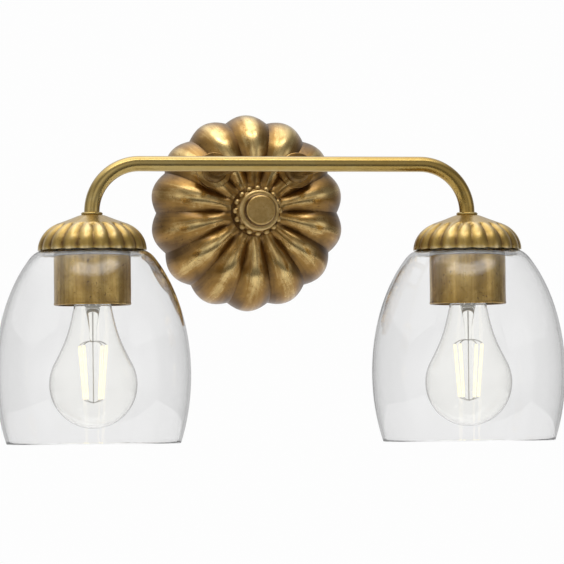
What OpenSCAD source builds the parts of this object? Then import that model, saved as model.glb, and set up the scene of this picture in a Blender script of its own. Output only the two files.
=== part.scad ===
// Two-lamp vanity light bar: a lobed wall plate carries two posts and one bent arm
// tube, and a clear glass shade hangs under a fluted cap at each end of the tube.
// Millimetres. +X right, the front faces -Y, +Z up. The wall is the plane y = 0 and
// the origin is the middle of the mounting strap's back face.

/* [Wall plate] */
// Radius of the wall plate over its lobes
plate_r = 69; // [66:0.5:74]
// Number of lobes round the wall plate, with one lobe at the top
plate_lobes = 14; // [10:4:18]
// How far the wall plate's crest stands out from the wall
plate_h = 33; // [31:0.5:36]
// Depth of the grooves between the wall plate's lobes
plate_groove = 4.4; // [2:0.1:5]
// Sheet thickness of the wall plate
plate_t = 1.6; // [1.2:0.1:2]

/* [Arm] */
// Distance between the two lamps' axes
lamp_spacing = 263; // [250:1:300]
// Distance from the wall to the arm tube's axis
bar_depth = 112; // [105:1:125]
// Height of the arm tube's axis above the plate's middle
bar_z = 28.5; // [26:0.5:30]
// Radius of the arm tube's bends, to its axis
bend_r = 33; // [30:0.5:36]
// Outer radius of the arm tube
tube_r = 5.25; // [5.2:0.05:6]
// Inner radius of the arm tube
tube_bore_r = 4; // [3.8:0.05:4.2]
// Distance from the middle of the bar to each post
post_x = 29.5; // [28:0.5:32]

/* [Shade] */
// Largest outer radius of the glass shade
shade_r = 66.5; // [62:0.5:70]
// Height from the shade's neck to its rim
shade_h = 132.5; // [125:0.5:140]
// Thickness of the shade's glass
shade_t = 2.2; // [1.8:0.1:2.6]

/* [Cap and cup] */
// Radius of the fluted cap over its lobes
cap_r = 37.3; // [36.5:0.1:38]
// Height of the fluted cap
cap_h = 24; // [23:0.5:24]
// Number of lobes round the fluted cap
cap_lobes = 20; // [16:1:24]
// Depth of the grooves between the cap's lobes
cap_groove = 1.5; // [0.8:0.1:1.6]
// Outer radius of the socket cup
cup_r = 26.2; // [26:0.1:27]
// How far the socket cup's lip is below the bar's axis
cup_drop = 96.5; // [95:0.5:98]

/* [Knob and rosette] */
// Number of beads round the rosette
bead_count = 16; // [12:1:18]
// Radius of one bead
bead_r = 2.2; // [1.8:0.1:2.3]
// Radius of the knob's front disc
knob_r = 10.6; // [10:0.1:11.5]

/* [Hidden] */
$fn = 64;

left = -1;
right = 1;

// Thread on the nipple, the posts and the arm's ends: M10 x 1
thread_r = 5;
nut_flats_r = 7.5;
nut_t = 3;
running = 0.06;

// Wall side
strap_l = 112;
strap_w = 20;
strap_t = 2;
slot_spacing = 79.4;
slot_l = 24;
slot_r = 2.5;
ground_x = 18;
ground_r = 1.9;
nipple_end = 47;
nipple_bore_r = 3.5;

// Plate profile: a rim arc rises to the crest, then it falls to a flat seat
plate_crest_r = 38;
plate_seat_r = 18;
plate_seat_h = 30;
plate_steps = 6;
boss_r = 12.5;
boss_back = 25;
boss_front = 33.4;
hole_start_r = 4;

// Rosette and knob, as distances from the wall
rosette_front = 42;
rosette_r = 17;
bead_ring_r = 15.5;
bead_h = 38.4;
flange_front = 45;
flange_r = 14.2;
knob_front = 50.4;

// Posts
post_back = 19;
post_bore_r = 3.2;
post_collar_r = 9;
collar_t = 3;

// Lamp stack: heights along each lamp's axis
bend_end_z = bar_z - bend_r;
arm_collar_h = 2;
arm_collar_r = 7.35;
cap_top_z = bend_end_z - arm_collar_h;
cap_t = 1.2;
cap_bottom_z = cap_top_z - cap_h;
cap_crest_r = 15;
cap_flute_top_r = 23.5;
cap_seat_r = 7.6;
cap_steps = 4;
holder_cap_top = cap_top_z - 4.7;
holder_top = holder_cap_top - 2.8;
holder_seat = holder_top - 14;
holder_r = 21.2;
holder_flange_r = 27;
holder_neck_r = 16;
holder_cap_r = 15.5;
holder_cap_t = 1.6;
holder_flange_t = 2.5;
holder_bottom = holder_seat - 38.5;
chamber_r = 12;
contact_recess_r = 11;
shell_r = 15.2;
terminal_r = 1.4;
chamber_floor = holder_top - 16;
contact_ceiling = holder_top - 25;
shell_top = contact_ceiling - 4;
gasket_t = 1.5;
neck_z = holder_seat - gasket_t;
neck_hole_r = 21.6;
rim_z = neck_z - shade_h;
cup_top = neck_z - shade_t - gasket_t;
cup_bottom = bar_z - cup_drop;
cup_t = 1.2;
cup_thread_h = 8;

// Shade outline: a half ellipse whose top is replaced by a round shoulder
shade_half_h = 103;
shade_mid_z = neck_z - 85.5;
shoulder_join_z = neck_z - 6.5;

// E26 lamp: base thread pitch and radii
e26_pitch = 3.629;
e26_r = 12.85;
e26_wave = 0.25;
bulb_top = contact_ceiling - 1.6;
bulb_bottom = bulb_top - 110.9;
bulb_r = 30;
base_bottom = bulb_top - 26.6;
wire_r = 0.9;
wire_gap = 1.2;
lead_turn = 6;
lead_tail = 20;
lead_tail_depth = 8;
terminal_x = 7.5;

// ---------- shared shapes ----------

// 1 in the middle of a lobe, 0 in the groove between two lobes
function lobe(a, lobes) = abs(cos(lobes * a / 2));

// One ring of points. s = [radius, height, outward normal r, outward normal h, groove depth]
function ring(s, lobes, count, inset) = [
    for (i = [0 : count - 1])
        let (a = 360 * i / count, g = s[4] * (1 - lobe(a, lobes)) + inset)
            [(s[0] - s[2] * g) * sin(a), (s[0] - s[2] * g) * cos(a), s[1] - s[3] * g]
];

// A lobed dome of sheet. The profile runs from the rim inwards to a hole in the middle
module lobed_dome(profile, lobes, steps, thickness) {
    count = lobes * steps;
    rings = len(profile);
    last = rings - 1;
    points = concat(
        [for (s = profile) each ring(s, lobes, count, 0)],
        [for (s = profile) each ring([s[0], max(s[1], s[3] * thickness), s[2], s[3], s[4]],
                                     lobes, count, thickness)]
    );
    function p(skin, k, i) = (skin * rings + k) * count + i % count;
    function quad(a, b, c, d) = [[a, b, c], [a, c, d]];
    faces = concat(
        [for (k = [0 : last - 1], i = [0 : count - 1])
            each quad(p(0, k, i), p(0, k, i + 1), p(0, k + 1, i + 1), p(0, k + 1, i))],
        [for (k = [0 : last - 1], i = [0 : count - 1])
            each quad(p(1, k, i), p(1, k + 1, i), p(1, k + 1, i + 1), p(1, k, i + 1))],
        [for (i = [0 : count - 1])
            each quad(p(0, 0, i), p(1, 0, i), p(1, 0, i + 1), p(0, 0, i + 1))],
        [for (i = [0 : count - 1])
            each quad(p(0, last, i), p(0, last, i + 1), p(1, last, i + 1), p(1, last, i))]
    );
    polyhedron(points = points, faces = faces, convexity = 6);
}

// Turns a shape whose axis is +Z so that it stands out from the wall
module on_wall() {
    rotate([90, 0, 0]) children();
}

// Places a shape on the axis of one lamp
module at_lamp(side) {
    translate([side * lamp_spacing / 2, -bar_depth, 0]) children();
}

// A straight round bar between two points
module rod(a, b, r) {
    d = b - a;
    translate(a)
        rotate([0, acos(d[2] / norm(d)), atan2(d[1], d[0])])
            cylinder(h = norm(d), r = r);
}

// A tube or washer from z0 up to z1
module tube(r_out, r_in, z0, z1) {
    translate([0, 0, z0]) difference() {
        cylinder(h = z1 - z0, r = r_out);
        translate([0, 0, -1]) cylinder(h = z1 - z0 + 2, r = r_in);
    }
}

// A hexagon nut from z0 up to z1
module hex_nut(z0, z1) {
    translate([0, 0, z0]) difference() {
        cylinder(h = z1 - z0, r = nut_flats_r, $fn = 6);
        translate([0, 0, -1]) cylinder(h = z1 - z0 + 2, r = thread_r);
    }
}

// A quarter turn of round bar in the XZ plane: it starts along +X at the origin
// and ends pointing along -Z at [bend, 0, -bend]
module quarter_bend(bend, r) {
    translate([0, 0, -bend]) rotate([90, 0, 0])
        rotate_extrude(angle = 90) translate([bend, 0]) circle(r = r);
}

// ---------- wall side ----------

module slot_cut() {
    for (end = [-1, 1])
        translate([end * (slot_l / 2 - slot_r), 0, -1]) cylinder(h = strap_t + 2, r = slot_r);
    translate([slot_r - slot_l / 2, -slot_r, -1])
        cube([slot_l - 2 * slot_r, 2 * slot_r, strap_t + 2]);
}

module mounting_strap() {
    color("silver") on_wall() difference() {
        translate([-strap_l / 2, -strap_w / 2, 0]) cube([strap_l, strap_w, strap_t]);
        translate([0, 0, -1]) cylinder(h = strap_t + 2, r = thread_r);
        for (end = [-1, 1]) translate([end * slot_spacing / 2, 0, 0]) slot_cut();
        translate([ground_x, 0, -1]) cylinder(h = strap_t + 2, r = ground_r);
    }
}

module ground_screw() {
    color("seagreen") on_wall() translate([ground_x, 0, 0]) difference() {
        union() {
            cylinder(h = strap_t + 2, r = ground_r);
            translate([0, 0, strap_t + 1.4]) cylinder(h = 2, r = 4, $fn = 6);
        }
        translate([-3, -0.5, strap_t + 2.6]) cube([6, 1, 2]);
    }
}

module ground_wire() {
    wire = 0.7;
    loop = ground_r + wire;
    color("peru") on_wall() translate([ground_x, 0, strap_t + wire]) union() {
        rotate_extrude(angle = 270) translate([loop, 0]) circle(r = wire, $fn = 24);
        translate([0, -loop, 0]) rotate([0, 90, 0]) cylinder(h = 2, r = wire, $fn = 24);
        translate([2, -loop - 4, 0]) rotate_extrude(angle = 90) translate([4, 0])
            circle(r = wire, $fn = 24);
        translate([6, -loop - 4, 0]) rotate([90, 0, 0]) cylinder(h = 22, r = wire, $fn = 24);
    }
}

module threaded_nipple() {
    color("silver") on_wall() tube(thread_r, nipple_bore_r, 0, nipple_end);
}

module nipple_lock_nut() {
    color("silver") on_wall() hex_nut(strap_t, strap_t + nut_t);
}

plate_profile = concat(
    [for (u = [0 : 15 : 90])
        [plate_crest_r + (plate_r - plate_crest_r) * cos(u), plate_h * sin(u), cos(u), sin(u),
         plate_groove]],
    [for (s = [0.25 : 0.25 : 1])
        [plate_crest_r - (plate_crest_r - plate_seat_r) * s,
         plate_h - (plate_h - plate_seat_h) * (1 - cos(180 * s)) / 2,
         0, 1, plate_groove * (1 - pow(s, 3))]],
    [[hole_start_r, plate_seat_h, 0, 1, 0]]
);

module backplate() {
    color("darkgoldenrod") on_wall() difference() {
        union() {
            lobed_dome(plate_profile, plate_lobes, plate_steps, plate_t);
            for (side = [left, right]) translate([side * post_x, bar_z, boss_back])
                cylinder(h = boss_front - boss_back, r = boss_r);
        }
        for (side = [left, right]) translate([side * post_x, bar_z, 0])
            cylinder(h = plate_h + 5, r = thread_r + running);
        cylinder(h = plate_h + 5, r = thread_r + running);
    }
}

module beaded_rosette() {
    color("goldenrod") on_wall() difference() {
        union() {
            rotate_extrude() polygon([
                [0, plate_seat_h], [rosette_r, plate_seat_h],
                [rosette_r + 0.3, plate_seat_h + 1.2], [rosette_r - 0.8, plate_seat_h + 3],
                [rosette_r - 2, plate_seat_h + 5], [rosette_r - 2, bead_h + 0.4],
                [rosette_r - 3.5, rosette_front - 1.2], [rosette_r - 4.3, rosette_front],
                [0, rosette_front]
            ]);
            for (i = [0 : bead_count - 1]) rotate([0, 0, 360 * i / bead_count])
                translate([0, bead_ring_r, bead_h]) sphere(r = bead_r, $fn = 32);
        }
        translate([0, 0, plate_seat_h - 1])
            cylinder(h = rosette_front - plate_seat_h + 2, r = thread_r + running);
    }
}

module cap_nut_knob() {
    color("goldenrod") on_wall() difference() {
        rotate_extrude() polygon([
            [0, rosette_front], [flange_r - 0.8, rosette_front],
            [flange_r, rosette_front + 0.8], [flange_r, flange_front - 1],
            [flange_r - 0.9, flange_front], [knob_r + 0.8, flange_front],
            [knob_r, flange_front + 0.8], [knob_r, knob_front - 1.2],
            [knob_r - 0.4, knob_front - 0.4], [knob_r - 1.2, knob_front - 0.1],
            [knob_r / 2, knob_front + 0.25], [0, knob_front + 0.4]
        ]);
        translate([0, 0, rosette_front - 1])
            cylinder(h = nipple_end - rosette_front + 3, r = thread_r + running);
    }
}

// ---------- posts and arm ----------

module post(side) {
    color("darkgoldenrod") difference() {
        translate([side * post_x, 0, bar_z]) on_wall()
            tube(thread_r, post_bore_r, post_back, bar_depth);
        translate([side * post_x, -bar_depth, bar_z]) rotate([0, 90, 0])
            cylinder(h = 4 * tube_r, r = tube_r, center = true);
    }
}

module post_left() {
    post(left);
}

module post_right() {
    post(right);
}

module post_collars() {
    color("goldenrod") for (side = [left, right]) translate([side * post_x, 0, bar_z])
        on_wall() difference() {
            rotate_extrude() polygon([
                [0, boss_front], [post_collar_r - 0.6, boss_front],
                [post_collar_r, boss_front + 0.6], [post_collar_r - 0.8, boss_front + 2],
                [post_collar_r - 2.4, boss_front + collar_t], [0, boss_front + collar_t]
            ]);
            translate([0, 0, boss_front - 1])
                cylinder(h = collar_t + 2, r = thread_r + running);
        }
}

module post_nuts() {
    color("silver") for (side = [left, right]) translate([side * post_x, 0, bar_z])
        on_wall() hex_nut(boss_back - nut_t, boss_back);
}

// The arm's outline as solid bar: straight, two quarter bends and two tails
module arm_core(r, tail_end) {
    straight = lamp_spacing / 2 - bend_r;
    translate([0, -bar_depth, bar_z]) {
        rotate([0, 90, 0]) cylinder(h = 2 * straight, r = r, center = true);
        translate([straight, 0, 0]) quarter_bend(bend_r, r);
        mirror([1, 0, 0]) translate([straight, 0, 0]) quarter_bend(bend_r, r);
    }
    for (side = [left, right]) at_lamp(side)
        translate([0, 0, tail_end]) cylinder(h = bend_end_z - tail_end, r = r);
}

module arm_tube() {
    color("goldenrod") difference() {
        union() {
            arm_core(tube_r, cap_top_z);
            for (side = [left, right]) at_lamp(side) translate([0, 0, holder_top])
                cylinder(h = cap_top_z - holder_top, r = thread_r);
        }
        arm_core(tube_bore_r, holder_top - 1);
        for (side = [left, right]) translate([side * post_x, -bar_depth, bar_z])
            rotate([-90, 0, 0]) cylinder(h = tube_r + 2, r = post_bore_r);
    }
}

// ---------- lamp, fixed pieces ----------

module arm_collar(side) {
    color("goldenrod") at_lamp(side) difference() {
        translate([0, 0, cap_top_z]) rotate_extrude() polygon([
            [0, 0], [arm_collar_r - 0.3, 0], [arm_collar_r, 0.5], [arm_collar_r, 1.2],
            [arm_collar_r - 0.6, arm_collar_h], [0, arm_collar_h]
        ]);
        translate([0, 0, cap_top_z - 1]) cylinder(h = arm_collar_h + 2, r = tube_r);
    }
}

cap_dome_rise = 19.7;
cap_dome_angle = acos((cap_flute_top_r - cap_crest_r) / (cap_r - cap_crest_r));

cap_profile = concat(
    [[cap_r, 0, 1, -0.4, cap_groove]],
    [for (k = [1 : 4]) let (v = cap_dome_angle * k / 4)
        [cap_crest_r + (cap_r - cap_crest_r) * cos(v), cap_dome_rise * sin(v), cos(v), sin(v),
         cap_groove * (k < 4 ? 1 : 0)]],
    [[14, cap_h - 2.7, 0.3, 0.95, 0], [cap_seat_r, cap_h, 0, 1, 0], [hole_start_r, cap_h, 0, 1, 0]]
);

module fluted_cap(side) {
    color("darkgoldenrod") at_lamp(side) translate([0, 0, cap_bottom_z]) difference() {
        lobed_dome(cap_profile, cap_lobes, cap_steps, cap_t);
        cylinder(h = cap_h + 5, r = thread_r);
    }
}

module cap_lock_nut(side) {
    color("silver") at_lamp(side) hex_nut(cap_top_z - cap_t - nut_t, cap_top_z - cap_t);
}

module holder_cap(side) {
    color("silver") at_lamp(side) difference() {
        union() {
            translate([0, 0, holder_top]) cylinder(h = holder_cap_t, r = holder_cap_r);
            translate([0, 0, holder_top])
                cylinder(h = holder_cap_top - holder_top, r = nut_flats_r);
        }
        translate([0, 0, holder_top - 1]) cylinder(h = 5, r = thread_r);
    }
}

module lamp_holder(side) {
    color("ivory") at_lamp(side) difference() {
        union() {
            translate([0, 0, holder_seat])
                cylinder(h = holder_top - holder_seat, r = holder_neck_r);
            translate([0, 0, holder_seat]) cylinder(h = holder_flange_t, r = holder_flange_r);
            translate([0, 0, holder_bottom])
                cylinder(h = holder_seat - holder_bottom, r = holder_r);
        }
        translate([0, 0, chamber_floor])
            cylinder(h = holder_top - chamber_floor + 1, r = chamber_r);
        translate([0, 0, shell_top])
            cylinder(h = contact_ceiling - shell_top, r = contact_recess_r);
        translate([0, 0, holder_bottom - 1])
            cylinder(h = shell_top - holder_bottom + 1, r = shell_r);
        for (x = [-terminal_x, terminal_x]) translate([x, 0, contact_ceiling - 1])
            cylinder(h = chamber_floor - contact_ceiling + 2, r = terminal_r, $fn = 24);
    }
}

module terminal_screws(side) {
    color("goldenrod") at_lamp(side) for (x = [-terminal_x, terminal_x]) translate([x, 0, 0])
        difference() {
        union() {
            translate([0, 0, contact_ceiling])
                cylinder(h = chamber_floor - contact_ceiling, r = terminal_r, $fn = 24);
            translate([0, 0, chamber_floor]) cylinder(h = 1.8, r = 2.6, $fn = 32);
        }
        translate([-3, -0.4, chamber_floor + 1]) cube([6, 0.8, 2]);
    }
}

module centre_contact(side) {
    color("peru") at_lamp(side) union() {
        translate([-9, -2.5, contact_ceiling - 0.6]) cube([12, 5, 0.6]);
        translate([0, 0, contact_ceiling - 1.6]) cylinder(h = 1.1, r = 2.8, $fn = 32);
    }
}

// Rolled thread drawn as even ridges, from z0 up to z1
function ridges(r, wave, z0, z1) = [
    for (i = [0 : 8 * floor((z1 - z0) / e26_pitch)])
        let (z = z0 + i * e26_pitch / 8)
            [r + wave * cos(360 * (z - z0) / e26_pitch), z]
];

module screw_shell(side) {
    shell_bottom = holder_bottom + 1;
    wall = ridges(14.35, e26_wave, shell_bottom + 1, shell_top - 1);
    color("goldenrod") at_lamp(side) rotate_extrude() polygon(concat(
        [[13.6, shell_bottom], [shell_r, shell_bottom], [shell_r, shell_bottom + 0.6]],
        wall,
        [[14.6, shell_top], [9, shell_top], [9, shell_top - 0.5], [13.6, shell_top - 0.5]]
    ));
}

// Samples along one insulated lead, for the right lamp, as [point, e1, e2], where e1 and
// e2 span its cross-section. It comes up beside the strap, goes through a post, along
// the bar, round the bend and down to its terminal screw
function lead_route(row) =
    let (straight = lamp_spacing / 2 - bend_r,
         z = bar_z + row * wire_gap,
         x = lamp_spacing / 2 + row * wire_gap,
         back = [post_x, -lead_tail_depth - lead_turn, bar_z - lead_turn],
         back_r = lead_turn + row * wire_gap,
         corner = [post_x + lead_turn, -bar_depth + lead_turn, z],
         bend = [straight, -bar_depth, bar_z - bend_r],
         lean = 40,
         start_z = holder_top - 1,
         run = (terminal_x - wire_gap - 2 * lead_turn * (1 - cos(lean))) / sin(lean),
         mid_x = x + row * (lead_turn * (1 - cos(lean)) + run * sin(lean)),
         mid_z = start_z - lead_turn * sin(lean) - run * cos(lean))
    concat(
        [[back + [0, back_r, -lead_tail], [0, 1, 0], [-1, 0, 0]]],
        [for (a = [0 : 30 : 90]) let (e = [0, cos(a), sin(a)])
            [back + back_r * e, e, [-1, 0, 0]]],
        [for (a = [0 : 30 : 90]) let (e = [-cos(a), -sin(a), 0])
            [corner + lead_turn * e, [0, 0, 1], e]],
        [for (a = [0 : 15 : 90]) let (e = [sin(a), 0, cos(a)])
            [bend + (bend_r + row * wire_gap) * e, e, [0, -1, 0]]],
        [for (a = [0 : 20 : lean])
            [[x + row * lead_turn * (1 - cos(a)), -bar_depth, start_z - lead_turn * sin(a)],
             [cos(a), 0, row * sin(a)], [0, -1, 0]]],
        [for (a = [lean : -20 : 0])
            [[mid_x + row * lead_turn * (cos(a) - cos(lean)), -bar_depth,
              mid_z - lead_turn * (sin(lean) - sin(a))],
             [cos(a), 0, row * sin(a)], [0, -1, 0]]]
    );

// Sweeps an eight-sided bar along a route
module sweep(route, r) {
    sides = 8;
    last = len(route) - 1;
    points = [for (s = route, i = [0 : sides - 1])
        s[0] + r * (cos(360 * i / sides) * s[1] + sin(360 * i / sides) * s[2])];
    function p(k, i) = k * sides + i % sides;
    faces = concat(
        [for (k = [0 : last - 1], i = [0 : sides - 1])
            each [[p(k, i), p(k + 1, i), p(k + 1, i + 1)], [p(k, i), p(k + 1, i + 1), p(k, i + 1)]]],
        [[for (i = [0 : sides - 1]) p(0, i)]],
        [[for (i = [sides - 1 : -1 : 0]) p(last, i)]]
    );
    polyhedron(points = points, faces = faces, convexity = 8);
}

module lead_wires(side) {
    color("dimgray") for (row = [-1, 1])
        if (side < 0) mirror([1, 0, 0]) sweep(lead_route(row), wire_r);
        else sweep(lead_route(row), wire_r);
}

module upper_gasket(side) {
    color("dimgray") at_lamp(side) tube(holder_flange_r, neck_hole_r, neck_z, holder_seat);
}

// ---------- lamp, shade and cup ----------

// Radius of the shade's outside at height z, below its shoulder
function shade_at(z, r, half_h) = r * sqrt(1 - pow((z - shade_mid_z) / half_h, 2));

shoulder_turn = 52.4;
shoulder_r = (neck_z - shoulder_join_z) / (1 - cos(shoulder_turn));
shoulder_start = shade_at(shoulder_join_z, shade_r, shade_half_h) - shoulder_r * sin(shoulder_turn);

// Shade outline from the neck hole out over the shoulder and down, moved in by inset
function shade_line(inset) = concat(
    [[neck_hole_r, neck_z - inset]],
    [for (k = [0 : 5]) let (a = shoulder_turn * k / 5, r = shoulder_r - inset)
        [shoulder_start + r * sin(a), neck_z - shoulder_r + r * cos(a)]],
    [for (k = [1 : 14]) let (z = shoulder_join_z + (rim_z + 1 - shoulder_join_z) * k / 14)
        [shade_at(z, shade_r - inset, shade_half_h - inset), z]]
);

function reversed(list) = [for (i = [len(list) - 1 : -1 : 0]) list[i]];

module glass_shade(side) {
    lip = shade_at(rim_z + 1, shade_r, shade_half_h) - shade_t / 2;
    color("azure", 0.35) at_lamp(side) rotate_extrude($fn = 96) polygon(concat(
        shade_line(0),
        [for (a = [-30 : -30 : -150]) [lip + shade_t / 2 * cos(a), rim_z + 1 + sin(a)]],
        reversed(shade_line(shade_t))
    ));
}

module lower_gasket(side) {
    color("dimgray") at_lamp(side)
        tube(cup_r - 0.2, neck_hole_r, cup_top, cup_top + gasket_t);
}

module socket_cup(side) {
    inner = cup_r - cup_t;
    thread = holder_r + running;
    color("darkgoldenrod") at_lamp(side) rotate_extrude() polygon([
        [thread, cup_top], [cup_r - 0.8, cup_top], [cup_r, cup_top - 0.8],
        [cup_r, cup_bottom + 1.4], [cup_r + 0.3, cup_bottom + 0.8], [cup_r, cup_bottom + 0.2],
        [cup_r - 0.4, cup_bottom], [inner - 0.3, cup_bottom], [inner - 0.5, cup_bottom + 0.7],
        [inner, cup_bottom + 1.4], [inner, cup_top - cup_thread_h],
        [thread, cup_top - cup_thread_h]
    ]);
}

// ---------- bulb ----------

module bulb_base(side) {
    color("silver") at_lamp(side) rotate_extrude() polygon(concat(
        [[11.9, base_bottom], [13.1, base_bottom], [13.1, base_bottom + 2.2]],
        ridges(e26_r, e26_wave, base_bottom + 3, bulb_top - 3.4),
        [[11, bulb_top - 3.2], [8, bulb_top - 3.2], [8, bulb_top - 3.8], [11.9, bulb_top - 5]]
    ));
}

module bulb_insulator(side) {
    color("dimgray") at_lamp(side) rotate_extrude() polygon([
        [0, bulb_top - 3.8], [8, bulb_top - 3.8], [8, bulb_top - 2.6], [5.2, bulb_top - 0.9],
        [0, bulb_top - 0.9]
    ]);
}

module bulb_tip(side) {
    color("silver") at_lamp(side) rotate_extrude() polygon([
        [0, bulb_top - 0.9], [4.6, bulb_top - 0.9], [4, bulb_top - 0.2], [2.5, bulb_top],
        [0, bulb_top]
    ]);
}

// Bulb outline: a ball at the bottom, and a neck that eases into it
bulb_mid_z = bulb_bottom + bulb_r;
neck_join = 28;
neck_top_z = base_bottom - 0.4;
neck_r = 12.6;
neck_plug_r = 11.8;
stem_top_z = base_bottom + 4;
bulb_t = 0.8;
function bulb_neck(t, inset) =
    let (p0 = [neck_r, neck_top_z],
         p1 = [neck_r + 4, neck_top_z - 20],
         p3 = [bulb_r * cos(neck_join), bulb_mid_z + bulb_r * sin(neck_join)],
         p2 = p3 + 17 * [-sin(neck_join), cos(neck_join)],
         q = pow(1 - t, 3) * p0 + 3 * t * pow(1 - t, 2) * p1 + 3 * t * t * (1 - t) * p2
             + pow(t, 3) * p3)
        [q[0] - inset, q[1]];

function bulb_line(inset) = concat(
    [for (k = [0 : 7]) bulb_neck(k / 8, inset)],
    [for (k = [0 : 9]) let (a = neck_join - (90 + neck_join) * k / 9, r = bulb_r - inset)
        [max(0, r * cos(a)), bulb_mid_z + r * sin(a)]]
);

// The bulb's neck ends in a narrower plug that is cemented into the metal base
module bulb_glass(side) {
    color("azure", 0.3) at_lamp(side) rotate_extrude() polygon(concat(
        [[neck_plug_r, stem_top_z], [neck_plug_r, base_bottom - 0.1]],
        bulb_line(0),
        reversed(bulb_line(bulb_t)),
        [[neck_plug_r - bulb_t, base_bottom - 0.1], [neck_plug_r - bulb_t, stem_top_z]]
    ));
}

filament_top_z = bar_z - 124;
filament_bottom_z = filament_top_z - 36;
filament_top_r = 11;
filament_bottom_r = 7.4;
filament_r = 1;
wire_end = 0.45;
stem_end_z = filament_top_z + 3;

function filament_point(i, r, z) = [r * cos(45 + 90 * i), r * sin(45 + 90 * i), z];

module bulb_stem(side) {
    color("azure", 0.5) at_lamp(side) rotate_extrude() polygon([
        [0, stem_end_z], [2.4, stem_end_z + 1], [2.6, stem_end_z + 8],
        [3.4, stem_end_z + 14], [5.4, stem_top_z - 5], [8.4, stem_top_z - 1.5],
        [8.4, stem_top_z], [0, stem_top_z]
    ]);
}

module bulb_filaments(side) {
    color("gold") at_lamp(side) for (i = [0 : 3])
        rod(filament_point(i, filament_top_r, filament_top_z),
            filament_point(i, filament_bottom_r, filament_bottom_z), filament_r);
}

module bulb_leads(side) {
    wire = 0.35;
    hub = [0, 0, stem_end_z - wire];
    color("dimgray") at_lamp(side) union() {
        rod([0, 0, filament_bottom_z - 3], [0, 0, stem_end_z], wire);
        for (i = [0 : 3]) {
            rod(hub, filament_point(i, filament_top_r, filament_top_z + wire_end), wire);
            rod([0, 0, filament_bottom_z - 3 + wire],
                filament_point(i, filament_bottom_r, filament_bottom_z - wire_end), wire);
        }
    }
}

mounting_strap();
ground_screw();
ground_wire();
threaded_nipple();
nipple_lock_nut();
backplate();
beaded_rosette();
cap_nut_knob();
post_left();
post_right();
post_collars();
post_nuts();
arm_tube();
arm_collar(left);  // arm_collar_left
arm_collar(right);  // arm_collar_right
fluted_cap(left);  // fluted_cap_left
fluted_cap(right);  // fluted_cap_right
cap_lock_nut(left);  // cap_lock_nut_left
cap_lock_nut(right);  // cap_lock_nut_right
holder_cap(left);  // holder_cap_left
holder_cap(right);  // holder_cap_right
lamp_holder(left);  // lamp_holder_left
lamp_holder(right);  // lamp_holder_right
terminal_screws(left);  // terminal_screws_left
terminal_screws(right);  // terminal_screws_right
centre_contact(left);  // centre_contact_left
centre_contact(right);  // centre_contact_right
screw_shell(left);  // screw_shell_left
screw_shell(right);  // screw_shell_right
lead_wires(left);  // lead_wires_left
lead_wires(right);  // lead_wires_right
upper_gasket(left);  // upper_gasket_left
upper_gasket(right);  // upper_gasket_right
glass_shade(left);  // glass_shade_left
glass_shade(right);  // glass_shade_right
lower_gasket(left);  // lower_gasket_left
lower_gasket(right);  // lower_gasket_right
socket_cup(left);  // socket_cup_left
socket_cup(right);  // socket_cup_right
bulb_base(left);  // bulb_base_left
bulb_base(right);  // bulb_base_right
bulb_insulator(left);  // bulb_insulator_left
bulb_insulator(right);  // bulb_insulator_right
bulb_tip(left);  // bulb_tip_left
bulb_tip(right);  // bulb_tip_right
bulb_glass(left);  // bulb_glass_left
bulb_glass(right);  // bulb_glass_right
bulb_stem(left);  // bulb_stem_left
bulb_stem(right);  // bulb_stem_right
bulb_filaments(left);  // bulb_filaments_left
bulb_filaments(right);  // bulb_filaments_right
bulb_leads(left);  // bulb_leads_left
bulb_leads(right);  // bulb_leads_right
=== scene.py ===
"""Looks of the two-lamp vanity light bar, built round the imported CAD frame.

Metres, in the row frame: +X right, the front faces -Y, +Z up, and the wall is y = 0.
"""
import math

import bmesh
import bpy
from mathutils import Matrix, Vector


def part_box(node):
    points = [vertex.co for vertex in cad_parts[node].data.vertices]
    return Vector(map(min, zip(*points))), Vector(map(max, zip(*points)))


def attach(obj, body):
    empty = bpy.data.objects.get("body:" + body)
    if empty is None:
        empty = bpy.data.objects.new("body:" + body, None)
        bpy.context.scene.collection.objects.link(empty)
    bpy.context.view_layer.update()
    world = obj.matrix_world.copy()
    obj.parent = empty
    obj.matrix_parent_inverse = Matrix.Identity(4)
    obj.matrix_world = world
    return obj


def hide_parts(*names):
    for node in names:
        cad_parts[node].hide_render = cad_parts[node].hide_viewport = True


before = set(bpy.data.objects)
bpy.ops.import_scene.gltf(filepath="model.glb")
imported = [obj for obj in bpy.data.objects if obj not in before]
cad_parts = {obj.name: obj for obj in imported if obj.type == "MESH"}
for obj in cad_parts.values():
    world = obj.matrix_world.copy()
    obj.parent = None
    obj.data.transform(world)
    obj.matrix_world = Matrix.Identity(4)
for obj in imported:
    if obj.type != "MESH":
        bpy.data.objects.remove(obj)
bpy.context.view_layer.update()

MM = 0.001
SIDES = ("left", "right")
FIXED = "fixture"


# ---------- places, read from the frame ----------

def low(node):
    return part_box(node)[0]


def high(node):
    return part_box(node)[1]


def middle(node):
    return (low(node) + high(node)) / 2


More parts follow.
